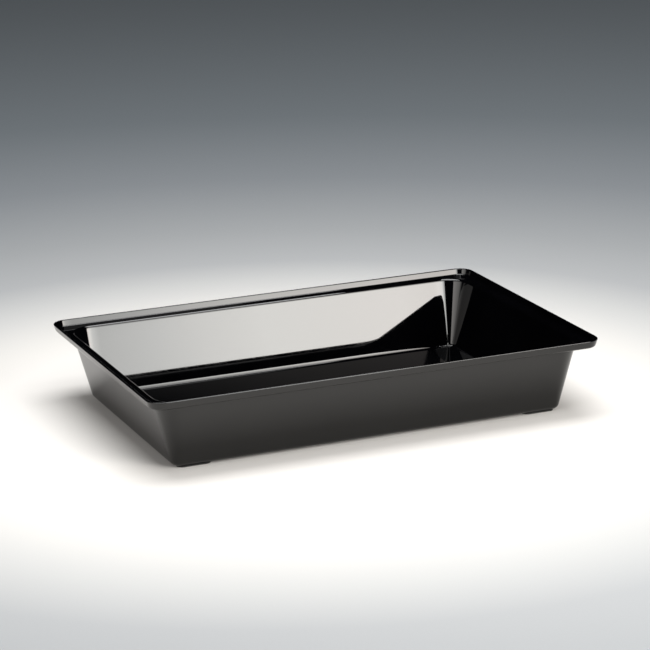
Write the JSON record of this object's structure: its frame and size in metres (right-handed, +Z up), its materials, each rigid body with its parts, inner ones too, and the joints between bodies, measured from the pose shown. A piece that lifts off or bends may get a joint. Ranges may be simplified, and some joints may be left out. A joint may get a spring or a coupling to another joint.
{
  "type": "deli food pan",
  "caption": "Shallow rectangular black plastic deli pan with tapered walls, rounded corners, a flat ledge and outward-leaning lip around the rim, and low corner pads under the base.",
  "frame": {"origin": "middle of the pan's outline, on the surface that the corner pads stand on", "axes": "+X along the long side, towards the right; +Y towards the rear long wall; +Z up, out of the open top"},
  "size_m": [0.4572, 0.3048, 0.0753],
  "materials": {
    "pan_plastic": "black moulded plastic, polished to a mirror inside and on the rim, satin outside",
    "foot_rubber": "matte black"
  },
  "bodies": {
    "root": {"pan_body": "pan_plastic", "foot_front_left": "foot_rubber", "foot_front_right": "foot_rubber", "foot_rear_left": "foot_rubber", "foot_rear_right": "foot_rubber"}
  },
  "joints": []
}
